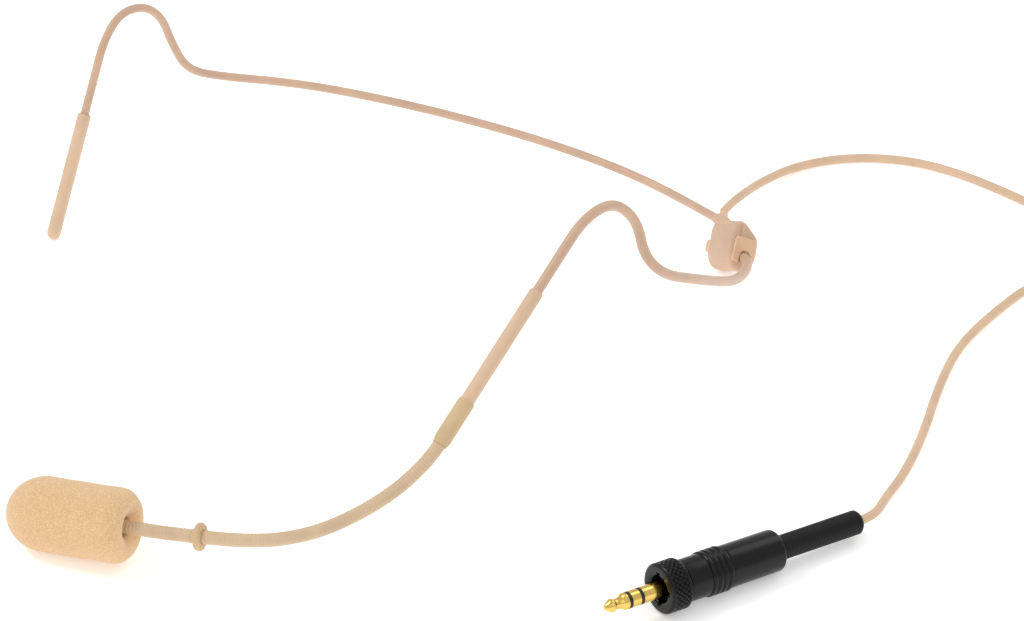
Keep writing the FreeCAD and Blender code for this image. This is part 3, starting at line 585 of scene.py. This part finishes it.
def plug():
    """The plug's turned pieces: knurled ring, tip, front body, grooved shell and ribbed strain relief."""
    edge = [(3.15, 13.2, 0.25), (4.85, 13.2, 0.5), (5.25, 13.65, 0.12)]
    grip = [(5.25, GRIP_START + 0.13 * i, 0) for i in range(31)]
    back = [(5.25, 17.75, 0.12), (4.9, 18.2, 0.3), (3.65, 18.2, 0.0), (3.65, 15.8, 0.0), (2.8, 15.8, 0.0),
            (2.8, 13.6, 0.15)]
    outline = softened(edge + grip + back)
    finish_piece(turned("locking_ring_knurled", outline, PLUG, 336, knurl), "lock", "black_metal",
                 "locking_ring")

    tip = [(0.02, 0.0, 0.0), (0.45, 0.02, 0.3), (1.4, 1.45, 0.3), (1.4, 1.85, 0.2), (1.1, 2.5, 0.3),
           (1.14, 3.4, 0.5), (1.42, 4.1, 0.4), (1.75, 4.4, 0.1), (1.75, 5.1, 0.0), (0.6, 5.1, 0.0),
           (0.6, 3.0, 0.0), (0.02, 3.0, 0.0)]
    finish_piece(turned("plug_tip_turned", softened(tip), PLUG, 64), "frame", "gold_plate",
                 "plug_tip_contact")

    front = [(1.51, 16.5, 0), (3.6, 16.5, 0.1), (3.6, 18.5, 0.0), (4.4, 18.5, 0.3), (4.4, 23.5, 0.0),
             (3.48, 23.5, 0.0), (3.48, 27.5, 0.0), (1.51, 27.5, 0.0)]
    finish_piece(turned("plug_front_body_turned", softened(front), PLUG, 96), "frame", "black_metal",
                 "plug_front_body")

    shell = [(3.5, 23.6, 0.0), (4.42, 23.6, 0.1)]
    for i in range(4):
        foot = 23.6 + 1.3 * i
        shell += [(4.7, foot + 0.3, 0.16), (4.7, foot + 0.9, 0.16), (4.34, foot + 1.15, 0.08),
                  (4.34, foot + 1.3, 0.08)]
    shell += [(4.4, 29.2, 0.1), (4.35, 41.7, 0.4), (3.6, 42.3, 0.3), (2.52, 42.3, 0.0), (2.52, 40.8, 0.0),
              (3.5, 40.8, 0.0)]
    finish_piece(turned("plug_shell_turned", softened(shell, 5), PLUG, 96), "frame", "black_metal",
                 "plug_shell")

    relief = [(0.02, 38.3, 0.0), (3.4, 38.3, 0.0), (3.4, 40.7, 0.0), (2.5, 40.7, 0.0), (2.5, 42.4, 0.0)]
    ribs, pitch = 50, 0.4
    for i in range(ribs):
        foot = 42.5 + pitch * i
        relief += [(2.44, foot, 0), (2.53, foot + 0.12, 0), (2.53, foot + 0.26, 0)]
    relief += [(2.5, 62.6, 0.2), (2.0, 63.2, 0.2), (1.0, 63.2, 0.0), (0.02, 63.15, 0.0)]
    finish_piece(turned("plug_relief_ribbed", softened(relief), PLUG, 60), "frame", "black_rubber",
                 "plug_strain_relief")


plug()


# ---- lead ----

LEAD = 1.9 * MM
COIL_CENTRE = at(86.0, 164.0, 0.0)


def coil_point(radius, turn, height):
    """A point of the coil, at a share of a turn, counted clockwise from above."""
    angle = -2 * math.pi * turn
    return COIL_CENTRE + Vector((radius * math.cos(angle), radius * math.sin(angle), height)) * MM


def coil_points():
    """Sixteen turns in four layers, then a last half turn down the outside of the coil."""
    per_turn, entry = 14, -0.30
    rings = []
    for layer in range(4):
        radii = [14.05, 12.05, 10.05, 8.05]
        for radius in radii if layer % 2 == 0 else reversed(radii):
            rings.append((radius, 1.6 + 1.98 * layer))
    points = []
    for turn, (radius, height) in enumerate(rings):
        later = rings[min(turn + 1, len(rings) - 1)]
        for step in range(per_turn):
            share = max(0.0, (step - 10) / 4)
            points.append(coil_point(radius + (later[0] - radius) * share, entry + turn + step / per_turn,
                                     height + (later[1] - height) * share))
    for i in range(7):
        share = i / 6
        points.append(coil_point(14.1 + 2.9 * min(1.0, share * 2.2), entry + 16 + 0.42 * share,
                                 7.54 - 6.3 * share))
    return points


def lead():
    """The whole lead: from the block's gland, round the stored coil and back to the plug."""
    from_block = [(27.6, 96.3, 6.85), (23.6, 98.5, 7.3), (20.7, 103.2, 6.3), (17.5, 109.0, 4.95),
                  (12.8, 119.6, 2.8), (9.6, 134.2, 0.95), (14.4, 146.4, 0.95), (23.8, 155.6, 0.95),
                  (36.0, 160.2, 0.95), (50.0, 161.8, 0.95), (61.0, 162.2, 0.95), (68.5, 166.4, 0.95),
                  (73.6, 173.6, 0.95)]
    to_plug = [(91.5, 146.8, 0.95), (82.6, 138.0, 0.95), (86.0, 122.0, 0.95),
               (91.2, 105.0, 0.95), (100.8, 89.3, 0.95), (111.9, 74.0, 0.95), (120.4, 60.2, 0.95),
               (126.2, 48.8, 2.2)]
    end = PLUG_TIP + PLUG_AXIS * RELIEF_END
    points = [at(*p) for p in from_block] + coil_points() + [at(*p) for p in to_plug]
    points += [end + PLUG_AXIS * 4.3 * MM, end]
    piece = spline("lead", points, LEAD)
    finish_piece(piece, "frame", "lead_jacket", "lead_from_block", "lead_coil", "lead_to_plug")
    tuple(points[0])


lead()


# ---- room ----

def room():
    """A pale floor, soft light from above and a bright surround."""
    half = 3.0
    floor = bpy.data.meshes.new("floor")
    floor.from_pydata([(-half, -half, 0), (half, -half, 0), (half, half, 0), (-half, half, 0)], [],
                      [(0, 1, 2, 3)])
    ground = link("floor", floor)
    shader = Shader("floor_pale", linear(250, 250, 250), 0.9)
    shader.colour(shader.noise(3.0), linear(248, 248, 248), linear(252, 252, 252))
    shader.main.inputs["Emission Color"].default_value = (1.0, 1.0, 1.0, 1.0)
    shader.main.inputs["Emission Strength"].default_value = 0.32
    floor.materials.append(shader.material)

    world = bpy.data.worlds.new("surround")
    bpy.context.scene.world = world
    world.use_nodes = True
    background = world.node_tree.nodes["Background"]
    background.inputs["Color"].default_value = (1.0, 1.0, 1.0, 1.0)
    background.inputs["Strength"].default_value = 0.72
    bpy.context.scene.view_settings.view_transform = "Standard"
    for name, where, power, width in (("key", (-0.5, -0.6, 1.1), 5.0, 0.35),
                                      ("fill", (0.9, -0.3, 0.8), 1.2, 0.9),
                                      ("rim", (0.1, 0.9, 0.9), 1.8, 0.6)):
        light = bpy.data.lights.new(name, "AREA")
        light.energy, light.size = power, width
        lamp = link(name, light)
        lamp.location = where
        lamp.rotation_euler = (-Vector(where)).to_track_quat("-Z", "Y").to_euler()


def camera():
    """A long lens from in front of the boom's side, a little above."""
    azimuth, elevation, distance = math.radians(49.0), math.radians(30.0), 1.1
    target = at(42.0, 21.0, 20.0)
    away = Vector((math.sin(azimuth) * math.cos(elevation), -math.cos(azimuth) * math.cos(elevation),
                   math.sin(elevation)))
    data = bpy.data.cameras.new("camera")
    data.lens, data.sensor_width = 184.5, 36.0
    data.clip_start, data.clip_end = 0.05, 20.0
    eye = link("camera", data)
    eye.location = target + away * distance
    eye.rotation_euler = (-away).to_track_quat("-Z", "Y").to_euler()
    bpy.context.scene.camera = eye


room()
camera()
